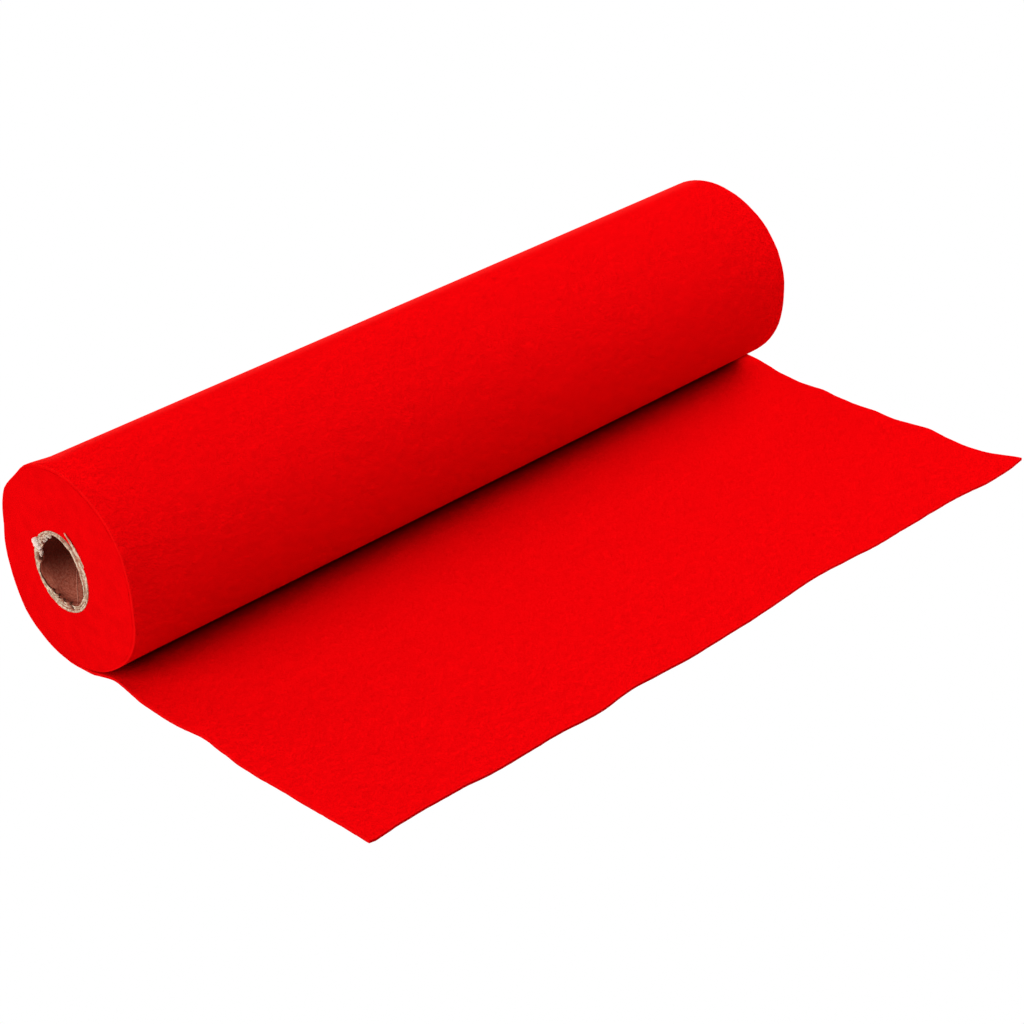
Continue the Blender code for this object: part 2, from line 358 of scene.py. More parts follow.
# Where the wall's section is cut: at shares of each ply's depth, and at distances in from its two ends.
PLY_CUTS = (0.0, 0.15, 0.32, 0.5, 0.68, 0.85)
NEAR_CUTS = (0.0006, 0.0013, 0.0022, 0.0034, 0.005, 0.009, 0.03, 0.12, 0.25, 0.38)
FAR_CUTS = (0.0008, 0.004)
TUBE_STEPS = 360

# The spiral seam in the bore, and where it meets the roll's near end.
SEAM_PITCH = 0.076
SEAM_TURN = math.radians(257)
SEAM_START = 0.0008

# The board's look: the sizes of its fibres, blots and cracks, in metres, and how deep its grain is. The seam
# fades out between two shares of its pitch, from its middle line.
BOARD_FIBRE_SIZE = 0.0009
BLOT_SIZE = 0.0018
CRACK_SIZE = 0.0011
BOARD_DEPTH = 0.0003
SEAM_FADE = (0.0015, 0.006)

# The painted shade in the bore: how dark it is on its upper side, over what heights it comes in and how those
# lean across the roll, and how dark it is deep inside, between two distances from the roll's near end.
UPPER_PAINTED_SHADE = 0.93
UPPER_HEIGHTS = (-0.012, 0.012)
UPPER_LEAN = 0.6
DEEP_PAINTED_SHADE = 0.5
DEEP_PLACES = (0.01, 0.06)

# The soft lights: from where each shines, as its heading round the roll from -Y towards +X and its height
# above the floor, in degrees, and its share of the power.
LAMPS = table(
    "name heading height share",
    ("front_low", 45, 30, 0.054), ("front_right", 45, 60, 0.127), ("far_end", 90, 30, 0.418),
    ("back", 180, 30, 0.129), ("near_end", 270, 30, 0.272),
)
LAMP_DISTANCE = 4.0
LAMP_SIZE = 3.0
FLOOR_DROP = 0.0002

# The camera, as fitted to the photograph: where it stands, its heading, tilt and lean in degrees, the width
# of its sensor in mm, and how far it sees.
CAMERA_PLACE = Vector((-0.8457, -0.8984, 0.6498))
CAMERA_HEADING = 42.62
CAMERA_DOWN = 27.06
CAMERA_LEAN = -4.40
CAMERA_SENSOR = 36.0
CAMERA_SIGHT = 20.0

WHITE = (1.0, 1.0, 1.0, 1.0)
SEED = 7


def read_table(rows, place, column):
    """Read one column at a place between the table's rows, on a smooth curve that passes through every row
    and is level where the rows turn back."""
    last = len(rows) - 1
    place = min(max(place, rows[0][0]), rows[last][0])
    low = max(i for i in range(last) if rows[i][0] <= place)
    values = [getattr(row, column) for row in rows]

    def slope(i):
        if i in (0, last) or (values[i] - values[i - 1]) * (values[i + 1] - values[i]) <= 0:
            return 0.0
        return (values[i + 1] - values[i - 1]) / (rows[i + 1][0] - rows[i - 1][0])

    span = rows[low + 1][0] - rows[low][0]
    t = (place - rows[low][0]) / span
    rise = (values[low + 1] - values[low]) * t * t * (3 - 2 * t)
    bend = t * (1 - t) * span * (slope(low) * (1 - t) - slope(low + 1) * t)
    return values[low] + rise + bend


def between(start, end, share):
    return start + (end - start) * share


def smooth(share):
    """A smooth step from 0 to 1."""
    share = min(max(share, 0.0), 1.0)
    return share * share * (3 - 2 * share)


def waver(x, y, row, size):
    """Smooth noise from -1 to 1 at a place, in lumps of about that size. Each row is noise of its own."""
    return noise.noise(Vector((x / size, y / size, row * 7.31 + SEED)))


def uneven(place, row):
    """How far a hand-cut edge strays at a place along it, in metres."""
    return sum(kind.height * waver(place, 0.0, row + kind.row, kind.length) for kind in CUT_WAVERS)


def ring_noise(turn, row, lumps):
    """Noise from -1 to 1 that runs round the tube and meets itself, in about that many lumps."""
    angle = math.radians(turn)
    size = lumps / (2 * math.pi)
    return noise.noise(Vector((math.cos(angle) * size, math.sin(angle) * size, row * 3.7 + SEED)))


def roughness(kinds, turn, ply):
    """How far a ply strays at a turn of the tube, in metres."""
    return sum(kind.height * ring_noise(turn, kind.row + ply, kind.lumps) for kind in kinds)


# The cloth


def plain_radius(turns):
    """The outer radius of the plain spiral, after some turns inwards from where the loose end leaves it."""
    if turns < 1:
        return ROLL_RADIUS + FIRST_DROP * (1 - turns)
    return max(WOUND_FROM, ROLL_RADIUS - TURN_PITCH * (turns - 1))


class Winding:
    """The cloth's outer face, some turns into the roll. The outer turn's form fades out towards the tube."""

    def __init__(self, turns):
        share = turns % 1
        turn = share * 360 - 90
        plain = plain_radius(turns)
        outer = ROLL_RADIUS + FIRST_DROP * (1 - share)
        self.fade = (plain - WOUND_FROM) / (outer - WOUND_FROM)
        self.near = ROLL_RADIUS + read_table(OUTER_TURN, turn, "near") * MM - WOUND_FROM
        self.far = ROLL_RADIUS + read_table(OUTER_TURN, turn, "far") * MM - WOUND_FROM
        self.lip = read_table(NEAR_LIP, turn, "rise") * MM * self.fade
        self.angle = math.radians(turn)
        wound = (plain - WOUND_FROM) / (ROLL_RADIUS - WOUND_FROM)
        self.centre = AXIS_HEIGHT + CORE_RISE * (1 - min(wound, 1.0))
        self.overhang = read_table(OUTER_TURN, turn, "overhang") * MM if turns < 1 else 0.0
        self.on_floor = turns < 0.5 and turn < 0

    def place(self, share):
        """The point's place across the roll and its height."""
        radius = WOUND_FROM + between(self.near, self.far, share) * self.fade
        radius += self.lip * (1 - smooth(share * FELT_WIDTH / LIP_REACH))
        y = radius * math.cos(self.angle)
        z = self.centre + radius * math.sin(self.angle)
        if self.on_floor:
            z = max(0.0, z - (1 - smooth((y - REST_HALF_WIDTH) / REST_HALF_WIDTH)) * REST_PRESS)
        return Vector((0.0, AXIS_Y + y, z))


def pushed(turns):
    """How far the cloth is pushed along the roll, out past its near end, some turns into the roll."""
    return TELESCOPE * (ROLL_RADIUS - min(plain_radius(turns), ROLL_RADIUS)) / (ROLL_RADIUS - WOUND_FROM)


def wound_row(turns):
    """Where the cloth's two sides stand, some turns into the roll, how much further out its inner face is
    pushed than its outer one, and how to place both faces at a share of its width."""
    outer = Winding(turns)
    under = Winding(turns + 1)
    tight = smooth(turns / FILLED_AFTER)

    def faces(share):
        top = outer.place(share)
        down = under.place(share) - top
        room = down.length
        depth = between(FELT_THICKNESS, room - TURN_GAP, tight)
        return top, top + down * (depth / room)

    near = -pushed(turns)
    far = FELT_WIDTH + outer.overhang - pushed(turns)
    if turns > 1:
        near += NEAR_STRAY * waver(turns * 1.7, 0.0, 1, 1.0)
        far += FAR_STRAY * waver(turns * 1.9, 0.0, 2, 1.0)
    return near, far, pushed(turns + 1) - pushed(turns), faces


def loose_row(ahead):
    """The same for the loose end, at a distance ahead of the roll's axis."""
    near = read_table(SIDES, ahead / MM, "near") * MM
    far = FELT_WIDTH + read_table(SIDES, ahead / MM, "far") * MM
    fade = min(ahead / LOOSE_LENGTH, 1.0) ** EDGE_FADE
    rise = max(0.0, 1 - (LOOSE_LENGTH - ahead) / CURL_REACH) ** 2

    def faces(share):
        x = between(near, far, share)
        back = (read_table(FRONT, x / MM, "back") * MM + uneven(x, 5)) * fade
        curl = read_table(FRONT, x / MM, "curl") * MM * rise
        under = Vector((0.0, AXIS_Y + back - ahead, curl))
        return under, under + Vector((0.0, 0.0, FELT_THICKNESS))

    return near, far, 0.0, faces


Row = namedtuple("Row", "length rounding loose outside shade place")


def rows_of_cloth():
    """The rows of the cloth from its front edge to its inner end: each has its distance from the front edge,
    the rounding of its cut sides, whether it is loose, whether it is outside, how dark its painted shade is,
    and what places it."""
    front = LOOSE_LENGTH - OUTER_ROUNDING
    places = [front, front - SIDE_STRIP]
    places += [LOOSE_LENGTH * (1 - i / LOOSE_STEPS) for i in range(1, LOOSE_STEPS)]
    rows = []
    for ahead in places:
        shade = read_table(NIP_SHADE, ahead / MM, "shade")
        rows.append(Row(LOOSE_LENGTH - ahead, OUTER_ROUNDING, True, True, shade, loose_row(ahead)))
    length = LOOSE_LENGTH
    steps = math.ceil(WOUND_TURNS * TURN_STEPS)
    for i in range(steps + 1):
        turns = min(i / TURN_STEPS, WOUND_TURNS)
        outside = turns <= 1
        rounding = OUTER_ROUNDING if outside else INNER_ROUNDING
        # Painted shade on the roll's underside above the nip.
        under = UNDER_SHADE * smooth((turns % 1 - UNDER_FROM) / UNDER_FADE) if turns > 0.5 else 0.0
        rows.append(Row(length, rounding, False, outside, under, wound_row(turns)))
        length += 2 * math.pi * plain_radius(turns) / TURN_STEPS
    return rows


class Cloth:
    """The cloth's mesh, made row by row. Each row is a closed ring of vertices round the cloth's section:
    its outer face from near to far, the far cut side, its inner face back to near, and the near cut side."""

    def __init__(self):
        self.mesh = bmesh.new()
        names = ("fray_and_highlight", "deep", "cut", "along", "across")
        self.layers = {name: self.mesh.verts.layers.float.new(name) for name in names}

    def add_point(self, point, row, depth, on_edge, at_front=False):
        """A vertex at a depth below the outer face. On the outside, a cut edge is frayed next to the face
        that shows, paler with a painted highlight. Painted shade darkens the cloth in the nip and under the
        roll, and its front edge next to the floor."""
        vert = self.mesh.verts.new(point)
        from_light = 1 - depth if row.loose else depth
        on_cut = on_edge or at_front
        fray_reach = FRONT_FRAY if at_front else SIDE_FRAY
        if at_front:
            lighter = smooth(((point.x - NEAR_END) / FELT_WIDTH - LIGHTENS_FROM) / LIGHTENS_OVER)
            shade = between(FRONT_SHADE_NEAR, FRONT_SHADE_FAR, lighter)
            shade *= smooth(from_light / FRONT_SHADE_REACH)
        elif not on_edge and (depth == 0 or row.loose):
            shade = row.shade * smooth((point.x - NEAR_END) / NIP_FADE)
        else:
            shade = 0.0
        # The deep mark carries the painted shade, and the fray mark the pale fray with its painted highlight.
        marks = {
            "fray_and_highlight": 1 - smooth(from_light / fray_reach) if on_cut and row.outside else 0.0,
            "deep": shade,
            "cut": float(on_cut),
            "along": row.length,
            "across": point.x,
        }
        for name, value in marks.items():
            vert[self.layers[name]] = value
        return vert

    def halves(self, ring, width):
        """The outer and the inner face's part of a ring, both from near to far."""
        start = width + len(CUT_EDGE)
        return ring[:width], ring[start : start + width][::-1]

    def add_ring(self, row, columns, at_front=False):
        """Add a row's ring of vertices, with a point of each face at each of the columns."""
        near, far, slope, faces = row.place
        near += NEAR_END + uneven(row.length, 3) * (1 if row.outside else INNER_UNEVEN)
        far += NEAR_END + uneven(row.length, 4)
        outer = []
        inner = []
        for column in columns:
            top, bottom = faces(COLUMNS[column])
            x = between(near + row.rounding, far - row.rounding, COLUMNS[column])
            outer.append(Vector((x, top.y, top.z)))
            inner.append(Vector((x - slope, bottom.y, bottom.z)))
        last = len(columns) - 1
        ring = []
        for i in range(last + 1):
            ring.append(self.add_point(outer[i], row, 0.0, i in (0, last), at_front))
        for cut in CUT_EDGE:
            point = outer[last].lerp(inner[last], cut.depth)
            point.x = far - slope * cut.depth - row.rounding * cut.back
            ring.append(self.add_point(point, row, cut.depth, True))
        for i in range(last, -1, -1):
            ring.append(self.add_point(inner[i], row, 1.0, i in (0, last), at_front))
        for cut in CUT_EDGE:
            point = inner[0].lerp(outer[0], cut.depth)
            point.x = near - slope * (1 - cut.depth) + row.rounding * cut.back
            ring.append(self.add_point(point, row, 1 - cut.depth, True))
        return ring

    def bridge(self, low, high):
        """Make the faces between two lines of vertices, which may share their ends."""
        for i in range(len(low) - 1):
            corners = dict.fromkeys((low[i], low[i + 1], high[i + 1], high[i]))
            self.mesh.faces.new(list(corners))

    def join_rings(self, ring, following):
        """Make the faces between two rings of as many vertices."""
        for i in range(len(ring)):
            self.mesh.faces.new((ring[i - 1], ring[i], following[i], following[i - 1]))

    def join_fine_to_coarse(self, fine, coarse):
        """Join a ring of all the columns to one of only some: each wide face takes in several narrow
        ones."""
        count = len(CUT_EDGE)
        width = len(COLUMNS)
        back = width + count
        marks = list(COARSE_COLUMNS)
        marks += [width + i for i in range(count)]
        marks += [back + width - 1 - column for column in reversed(COARSE_COLUMNS)]
        marks += [back + width + i for i in range(count)]
        for i in range(len(marks)):
            start = marks[i - 1]
            end = marks[i]
            narrow = fine[start : end + 1] if i else [fine[start], fine[end]]
            self.mesh.faces.new(narrow + [coarse[i], coarse[i - 1]])

    def close_front(self, row, ring):
        """Close the cloth's front edge, with a rounded cut edge like the sides'."""
        width = len(COLUMNS)
        outer, inner = self.halves(ring, width)
        levels = [outer]
        for i, cut in enumerate(CUT_EDGE):
            level = [ring[-1 - i]]
            for column in range(1, width - 1):
                point = outer[column].co.lerp(inner[column].co, cut.depth)
                point.y -= row.rounding * (1 - cut.back)
                level.append(self.add_point(point, row, cut.depth, True, at_front=True))
            level.append(ring[width + i])
            levels.append(level)
        levels.append(inner)
        for low, high in zip(levels, levels[1:]):
            self.bridge(low, high)

    def close_inside(self, ring):
        """Close the cloth's inner end, which lies hidden against the tube."""
        width = len(COARSE_COLUMNS)
        count = len(CUT_EDGE)
        outer, inner = self.halves(ring, width)
        self.bridge(outer, inner)
        self.mesh.faces.new([outer[-1]] + ring[width : width + count] + [inner[-1]])
        self.mesh.faces.new([inner[0]] + ring[2 * width + count :] + [outer[0]])


def wind_cloth():
    """The one length of felt, as one closed sheet from its front edge to its inner end on the tube."""
    cloth = Cloth()
    rows = rows_of_cloth()
    fine_rows = LOOSE_STEPS + math.ceil(FINE_TURNS * TURN_STEPS)
    ring = cloth.add_ring(rows[0], FINE_COLUMNS, at_front=True)
    cloth.close_front(rows[0], ring)
    for i, row in enumerate(rows[1:], start=1):
        following = cloth.add_ring(row, FINE_COLUMNS if i <= fine_rows else COARSE_COLUMNS)
        if i == fine_rows + 1:
            cloth.join_fine_to_coarse(ring, following)
        else:
            cloth.join_rings(ring, following)
        ring = following
    cloth.close_inside(ring)
    bmesh.ops.recalc_face_normals(cloth.mesh, faces=cloth.mesh.faces)
    data = bpy.data.meshes.new("felt_cloth")
    cloth.mesh.to_mesh(data)
    cloth.mesh.free()
    thing = bpy.data.objects.new("felt_cloth", data)
    bpy.context.scene.collection.objects.link(thing)
    data.shade_smooth()
    data.set_sharp_from_angle(angle=FELT_EDGE_ANGLE)
    return thing, rows[-1].length


# Shaders


def maths_method(operation, swapped=False):
    """A method that adds a Math node, with the wire itself as its first value or, if swapped, its last."""

    def method(self, *others):
        return self.maths(operation, *((*others, self) if swapped else (self, *others)))

    return method


class Wire:
    """What comes out of a node. Arithmetic on it adds Math nodes."""

    def __init__(self, shader, socket):
        self.shader = shader
        self.socket = socket

    def maths(self, operation, *values):
        return self.shader.node("ShaderNodeMath", {"operation": operation}, dict(enumerate(values)))

    __add__ = maths_method("ADD")
    __radd__ = maths_method("ADD", swapped=True)
    __sub__ = maths_method("SUBTRACT")
    __rsub__ = maths_method("SUBTRACT", swapped=True)
    __mul__ = maths_method("MULTIPLY")
    __rmul__ = maths_method("MULTIPLY", swapped=True)
    __truediv__ = maths_method("DIVIDE")
    __rtruediv__ = maths_method("DIVIDE", swapped=True)
    __abs__ = maths_method("ABSOLUTE")
    larger = maths_method("MAXIMUM")


class Shader:
    """One material and its nodes."""

    def __init__(self, name, colour):
        self.material = bpy.data.materials.new(name)
        self.material.use_nodes = True
        self.material.diffuse_color = (*colour, 1.0)
        self.tree = self.material.node_tree
        self.surface = self.tree.nodes["Principled BSDF"]

    def node(self, kind, settings=None, inputs=None, output=0):
        """Add a node: its settings first, and then the values or links of its sockets."""
        made = self.tree.nodes.new(kind)
        for name, value in (settings or {}).items():
            setattr(made, name, value)
        for key, value in (inputs or {}).items():
            self.feed(made.inputs[key], value)
        return Wire(self, made.outputs[output])

    def feed(self, socket, value):
        if isinstance(value, Wire):
            self.tree.links.new(value.socket, socket)
        else:
            socket.default_value = value

    def finish(self, **sockets):
        """Set the surface's own sockets. Underscores in a name stand for its spaces."""
        for name, value in sockets.items():
            self.feed(self.surface.inputs[name.replace("_", " ")], value)
        return self.material

    def noise(self, place, size, detail=2.0, rough=0.5, flat=False, output=0):
        """Noise from 0 to 1 whose lumps are about as large as the size, in the place's own units."""
        settings = {"noise_dimensions": "2D" if flat else "3D"}
        inputs = {"Vector": place, "Scale": 1 / size, "Detail": detail, "Roughness": rough}
        return self.node("ShaderNodeTexNoise", settings, inputs, output)

    def step(self, value, low, high):
        """A smooth step from 0 to 1 as the value goes from low to high."""
        settings = {"interpolation_type": "SMOOTHSTEP"}
        return self.node("ShaderNodeMapRange", settings, {"Value": value, "From Min": low, "From Max": high})

    def mark(self, name):
        """The value of the mesh's attribute of that name."""
        return self.node("ShaderNodeAttribute", {"attribute_name": name}, output="Fac")

    def mix(self, factor, first, second):
        """A colour between two others, the first of them at 0."""
        settings = {"data_type": "RGBA"}
        inputs = {0: factor, 6: opaque(first), 7: opaque(second)}
        return self.node("ShaderNodeMix", settings, inputs, output=2)


def opaque(colour):
    """A plain colour with its alpha, or a wire as it is."""
    return colour if isinstance(colour, Wire) else (*colour, 1.0)


def felt_fibres(shader):
    """Short fibres that lie all ways and bend a little, from 0 between them to 1 on their middles."""
    cloth = shader.node("ShaderNodeUVMap", {"uv_map": "cloth"})
    bend = shader.noise(cloth, BEND_SIZE, detail=1.0, flat=True, output="Color")
    settings = {"operation": "MULTIPLY_ADD"}
    bent = shader.node("ShaderNodeVectorMath", settings, {0: bend, 1: FIBRE_BEND, 2: cloth})
    fibres = None
    for way in FIBRE_WAYS:
        inputs = {"Vector": bent, "Rotation": (0.0, 0.0, math.radians(way)), "Scale": FIBRE_SCALE}
        laid = shader.node("ShaderNodeMapping", {"vector_type": "POINT"}, inputs)
        strand = 1.0 - abs(shader.noise(laid, 1.0, detail=1.0, flat=True) * 2.0 - 1.0)
        strand = shader.step(strand, 0.72, 1.0)
        fibres = strand if fibres is None else fibres.larger(strand)
    return fibres


def felt_material(settings):
    """Needled felt: a mat of short fibres, a little denser and paler in clumps, with a painted sheen of its
    fuzz where it turns from the eye and faces up, a painted highlight on its frayed edges, and painted shade
    in the nip, under the roll, on its front edge and on faces that look straight up.
    """
    colour = tuple(settings.colour)
    sheen_tone = tuple(settings.fuzz_sheen)
    shader = Shader("red felt", colour)
    place = shader.node("ShaderNodeTexCoord", output="Object")
    cut = shader.mark("cut")
    clumps = shader.noise(place, CLUMP_SIZE, detail=3.0, rough=0.55)
    patches = shader.noise(place, PATCH_SIZE)
    grain = shader.noise(place, GRAIN_SIZE, rough=0.6)
    mottle = shader.step(shader.noise(place, MOTTLE_SIZE), 0.3, 0.7)
    fibres = felt_fibres(shader) * (1.0 - cut)
    facing = shader.node("ShaderNodeLayerWeight", inputs={"Blend": 0.5}, output="Facing")
    normal = shader.node("ShaderNodeTexCoord", output="Normal")
    upward = shader.node("ShaderNodeSeparateXYZ", inputs={0: normal}, output="Z")
    light = shader.step(clumps, 0.25, 0.75) * CLUMP_LIGHT + fibres * FIBRE_LIGHT
    light = light + shader.step(grain, 0.3, 0.7) * GRAIN_LIGHT
    light = light + shader.step(patches, 0.3, 0.7) * PATCH_LIGHT
    tone = shader.mix(light, tuple(part * TONE_BETWEEN for part in colour), colour)
    # The frayed edges: paler fibres, partly a painted highlight.
    frayed = tuple(part * share for part, share in zip(sheen_tone, FRAY_TINT))
    tone = shader.mix(shader.mark("fray_and_highlight") * FRAY_FUZZ, tone, frayed)
    # A painted sheen on faces turned from the eye and up.
    tone = shader.mix(shader.step(facing, *SHEEN_FACING) * shader.step(upward, 0.0, 0.5), tone, sheen_tone)
    # Painted shade in the nip, under the roll and on the front edge.
    tone = shader.mix(shader.mark("deep"), tone, tuple(part * PAINTED_SHADE_TONE for part in colour))
    # Painted shade on faces that look up, added to the cut sides' darker, mottled tone.
    flat = shader.step(upward, 0.6, 1.0)
    darker = cut * (mottle * CUT_MOTTLE + CUT_SHADE) + flat * FLAT_SHADE
    tone = shader.mix(darker, tone, (0.0, 0.0, 0.0))
    height = clumps * CLUMP_LIFT + grain * GRAIN_LIFT + fibres * FIBRE_LIFT
    depth = (FELT_DEPTH - cut * (FELT_DEPTH - CUT_DEPTH)) * (1.0 - flat * FLAT_LESS_DEEP)
    bump = shader.node("ShaderNodeBump", inputs={"Strength": 0.8, "Distance": depth, "Height": height})
    return shader.finish(Base_Color=tone, Roughness=0.95, Specular_IOR_Level=0.0, Normal=bump)


def board_material(settings):
    """Grey-brown board, pale and fibrous where it is torn, with the spiral seam of its inner ply, painted
    shade on the bore's upper side and deep inside it, and dark lines and painted shade at the torn rim.
    """
    shader = Shader("tube board", tuple(settings.inside))
    place = shader.node("ShaderNodeTexCoord", output="Object")
    inputs = {"Vector": place, "Location": -Vector((0.0, AXIS_Y, CORE_HEIGHT))}
    centred = shader.node("ShaderNodeMapping", {"vector_type": "POINT"}, inputs)
    axes = shader.node("ShaderNodeSeparateXYZ", inputs={0: centred})
    across = Wire(shader, axes.socket.node.outputs["Y"])
    upward = Wire(shader, axes.socket.node.outputs["Z"])
    angle = axes.maths("ARCTAN2", upward, across)
    slide = (axes - (NEAR_END + SEAM_START)) / SEAM_PITCH - (angle - SEAM_TURN) / (2 * math.pi)
    phase = abs(slide.maths("FRACT", slide + 0.5) - 0.5)
    seam = 1.0 - shader.step(phase, *SEAM_FADE)
    fibres = shader.noise(place, BOARD_FIBRE_SIZE, detail=4.0, rough=0.6)
    blots = shader.noise(place, BLOT_SIZE, detail=3.0)
    cracks = shader.step(shader.noise(place, CRACK_SIZE, detail=4.0, rough=0.7), 0.58, 0.68)
    inside = shader.mix(shader.step(fibres, 0.36, 0.64), settings.inside, settings.grain)
    inside = shader.mix(seam * 0.55, inside, settings.seam)
    # Painted shade on the bore's upper side and deep inside it.
    bore_shade = shader.step(upward + across * UPPER_LEAN, *UPPER_HEIGHTS) * UPPER_PAINTED_SHADE
    bore_shade = bore_shade.larger(shader.step(axes - NEAR_END, *DEEP_PLACES) * DEEP_PAINTED_SHADE)
    inside = shader.mix(bore_shade, inside, settings.dark)
    pulp = shader.mix(shader.step(blots, 0.42, 0.58), settings.torn, settings.torn_deep)
    pulp = shader.mix(cracks * 0.5, pulp, settings.dark_marks_and_shade)
    pulp = shader.mix(shader.mark("pale") * (1.0 - cracks * 0.4), pulp, settings.wad)
    tone = shader.mix(shader.mark("torn"), inside, pulp)
    # Painted shade in the rim's gaps, in the bore next to the rim and in the wad, with the dark lines between
    # the plies, cracks and stains.
    dark_marks_and_shade = shader.mark("dark_marks_and_shade")
    tone = shader.mix(shader.step(dark_marks_and_shade, 0.1, 0.5) * 0.7, tone, settings.inside)
    tone = shader.mix(shader.step(dark_marks_and_shade, 0.4, 0.9) * 0.97, tone, settings.dark_marks_and_shade)
    inputs = {"Strength": 0.7, "Distance": BOARD_DEPTH, "Height": fibres + seam * 0.6}
    bump = shader.node("ShaderNodeBump", inputs=inputs)
    return shader.finish(Base_Color=tone, Roughness=0.85, Specular_IOR_Level=0.08, Normal=bump)


# The tube


def deselect_all():
    for thing in bpy.context.view_layer.objects:
        thing.select_set(False)


def turn_of(point):
    """The turn of a point round the tube's axis, in degrees from 0 to 360."""
    return math.degrees(math.atan2(point.z - CORE_HEIGHT, point.y - AXIS_Y)) % 360


def spin_tube():
    """The tube's wall, spun from its section: a plane, cut where the plies and the tear are."""
    deselect_all()
    near = NEAR_END - CORE_PROUD
    far = near + FELT_WIDTH
    top = CORE_HEIGHT + CORE_RADIUS
    bpy.ops.mesh.primitive_plane_add(size=1.0, location=((near + far) / 2, AXIS_Y, top - CORE_WALL / 2))
    tube = bpy.context.object
    tube.name = "torn_tube"
    tube.data.name = "torn_tube"
    tube.rotation_euler = (math.pi / 2, 0.0, 0.0)
    tube.scale = (far - near, CORE_WALL, 1.0)
    bpy.ops.object.transform_apply(location=True, rotation=True, scale=True)
    bpy.ops.object.mode_set(mode="EDIT")
    depths = [(ply + share) / PLIES for ply in range(PLIES) for share in PLY_CUTS]
    cuts = [((0.0, AXIS_Y, top - CORE_WALL * depth), (0.0, 0.0, 1.0)) for depth in depths[1:]]
    places = [near + reach for reach in NEAR_CUTS] + [far - reach for reach in FAR_CUTS]
    cuts += [((place, AXIS_Y, CORE_HEIGHT), (1.0, 0.0, 0.0)) for place in places]
    for place, normal in cuts:
        bpy.ops.mesh.select_all(action="SELECT")
        bpy.ops.mesh.bisect(plane_co=place, plane_no=normal)
    bpy.ops.mesh.select_all(action="DESELECT")
    section = bmesh.from_edit_mesh(tube.data)
    for edge in [edge for edge in section.edges if len(edge.link_faces) == 2]:
        section.edges.remove(edge)
    for vert in [vert for vert in section.verts if not vert.link_edges]:
        section.verts.remove(vert)
    bmesh.update_edit_mesh(tube.data)
    bpy.ops.mesh.select_all(action="SELECT")
    middle = (0.0, AXIS_Y, CORE_HEIGHT)
    bpy.ops.mesh.spin(steps=TUBE_STEPS, angle=2 * math.pi, center=middle, axis=(1.0, 0.0, 0.0))
    bpy.ops.mesh.select_all(action="SELECT")
    bpy.ops.mesh.remove_doubles(threshold=0.000001)
    bpy.ops.mesh.normals_make_consistent(inside=False)
    bpy.ops.object.mode_set(mode="OBJECT")
    tear_rim(tube, near)
    return tube


def turns_apart(turn, middle):
    """How far one turn is from another, in degrees."""
    return abs((turn - middle + 180) % 360 - 180)


def within(arc, turn):
    """From 0 outside an arc to 1 inside it."""
    return smooth((arc.half - turns_apart(turn, arc.turn)) / arc.fade)


class WallPoint:
    """A point of the tube's wall before the tear: how far it is in from the near end, its turn, its depth as
    a share of the wall from the outside in, its ply, and how near that ply's faces it is, from 0 to 1."""

    def __init__(self, point, near):
        self.reach_in = point.x - near
        self.on_rim = self.reach_in < 1e-5
        self.turn = turn_of(point)
        self.spoke = Vector((0.0, point.y - AXIS_Y, point.z - CORE_HEIGHT))
        self.depth = (CORE_RADIUS - self.spoke.length) / CORE_WALL
        self.spoke.normalize()
        self.ply = min(int(self.depth * PLIES + 1e-4), PLIES - 1)
        self.by_face = abs((self.depth * PLIES - self.ply) * 2 - 1)
        self.thin = within(THIN_ARC, self.turn)

    def in_gap(self, gap):
        """From 0 outside a gap in the plies to 1 inside it."""
        inside = smooth(GAP_STEEPNESS * (1 - turns_apart(self.turn, gap.turn) / gap.half))
        inside *= smooth((self.depth - gap.first) / GAP_FADE + 1)
        return inside * smooth((gap.last - self.depth) / GAP_FADE + 1)

    def noise(self, row, lumps):
        return ring_noise(self.turn, row + self.ply, lumps)

    def reach(self):
        """How far the rim stands out past the tube's plain end here."""
        reach = read_table(TORN_RIM, self.turn, "reach") * MM
        reach += INNER_PROUD * self.depth * (1 - THIN_DROP * self.thin)
        reach += roughness(RIM_ROUGH, self.turn, self.ply)
        reach -= sum(gap.deep * MM * self.in_gap(gap) for gap in RIM_GAPS)
        for fold in RIM_FOLDS:
            risen = smooth(1 - turns_apart(self.turn, fold.turn) / fold.half)
            reach += fold.rise * MM * risen * smooth(self.depth * 1.6)
        if self.on_rim and 0.02 < self.depth < 0.98:
            reach -= PLY_GROOVE * smooth((self.by_face - 0.55) / 0.45) * (0.7 + 0.6 * self.noise(50, 9.0))
        return reach

    def lean(self):
        """How far the ply leans into the bore here."""
        bore = read_table(TORN_RIM, self.turn, "bore") * MM
        return (CORE_RADIUS - CORE_WALL - bore + roughness(BORE_ROUGH, self.turn, self.ply)) * self.depth

    def dark_marks_and_shade(self):
        """How dark the board is here: painted shade in the gaps and in the bore next to the rim, and dark
        lines between the plies on the rim, partly painted shade.
        """
        if not self.on_rim and self.depth > 0.5:
            # Painted shade in the bore next to the rim.
            uneven_dark = 0.75 + 0.3 * self.thin + 0.6 * ring_noise(self.turn, 85, 12.0)
            return (1 - smooth(self.reach_in / DARK_REACH)) * uneven_dark
        dark = max(self.in_gap(gap) for gap in RIM_GAPS)
        if self.on_rim:
            line = smooth((self.by_face - 0.5) / 0.5) * (0.7 + 0.9 * self.noise(80, 14.0))
            if self.depth < 0.02:
                line *= 0.9 * within(LINED_ARC, self.turn)
            elif self.depth < 0.9:
                line *= 1 - 0.9 * self.thin
            dark = max(dark, line)
        return dark

    def bare(self):
        """How torn the board looks here, from 0 to 1."""
        return 1 - smooth(self.reach_in / (BARE_INSIDE if self.depth > 0.5 else BARE_OUTSIDE))


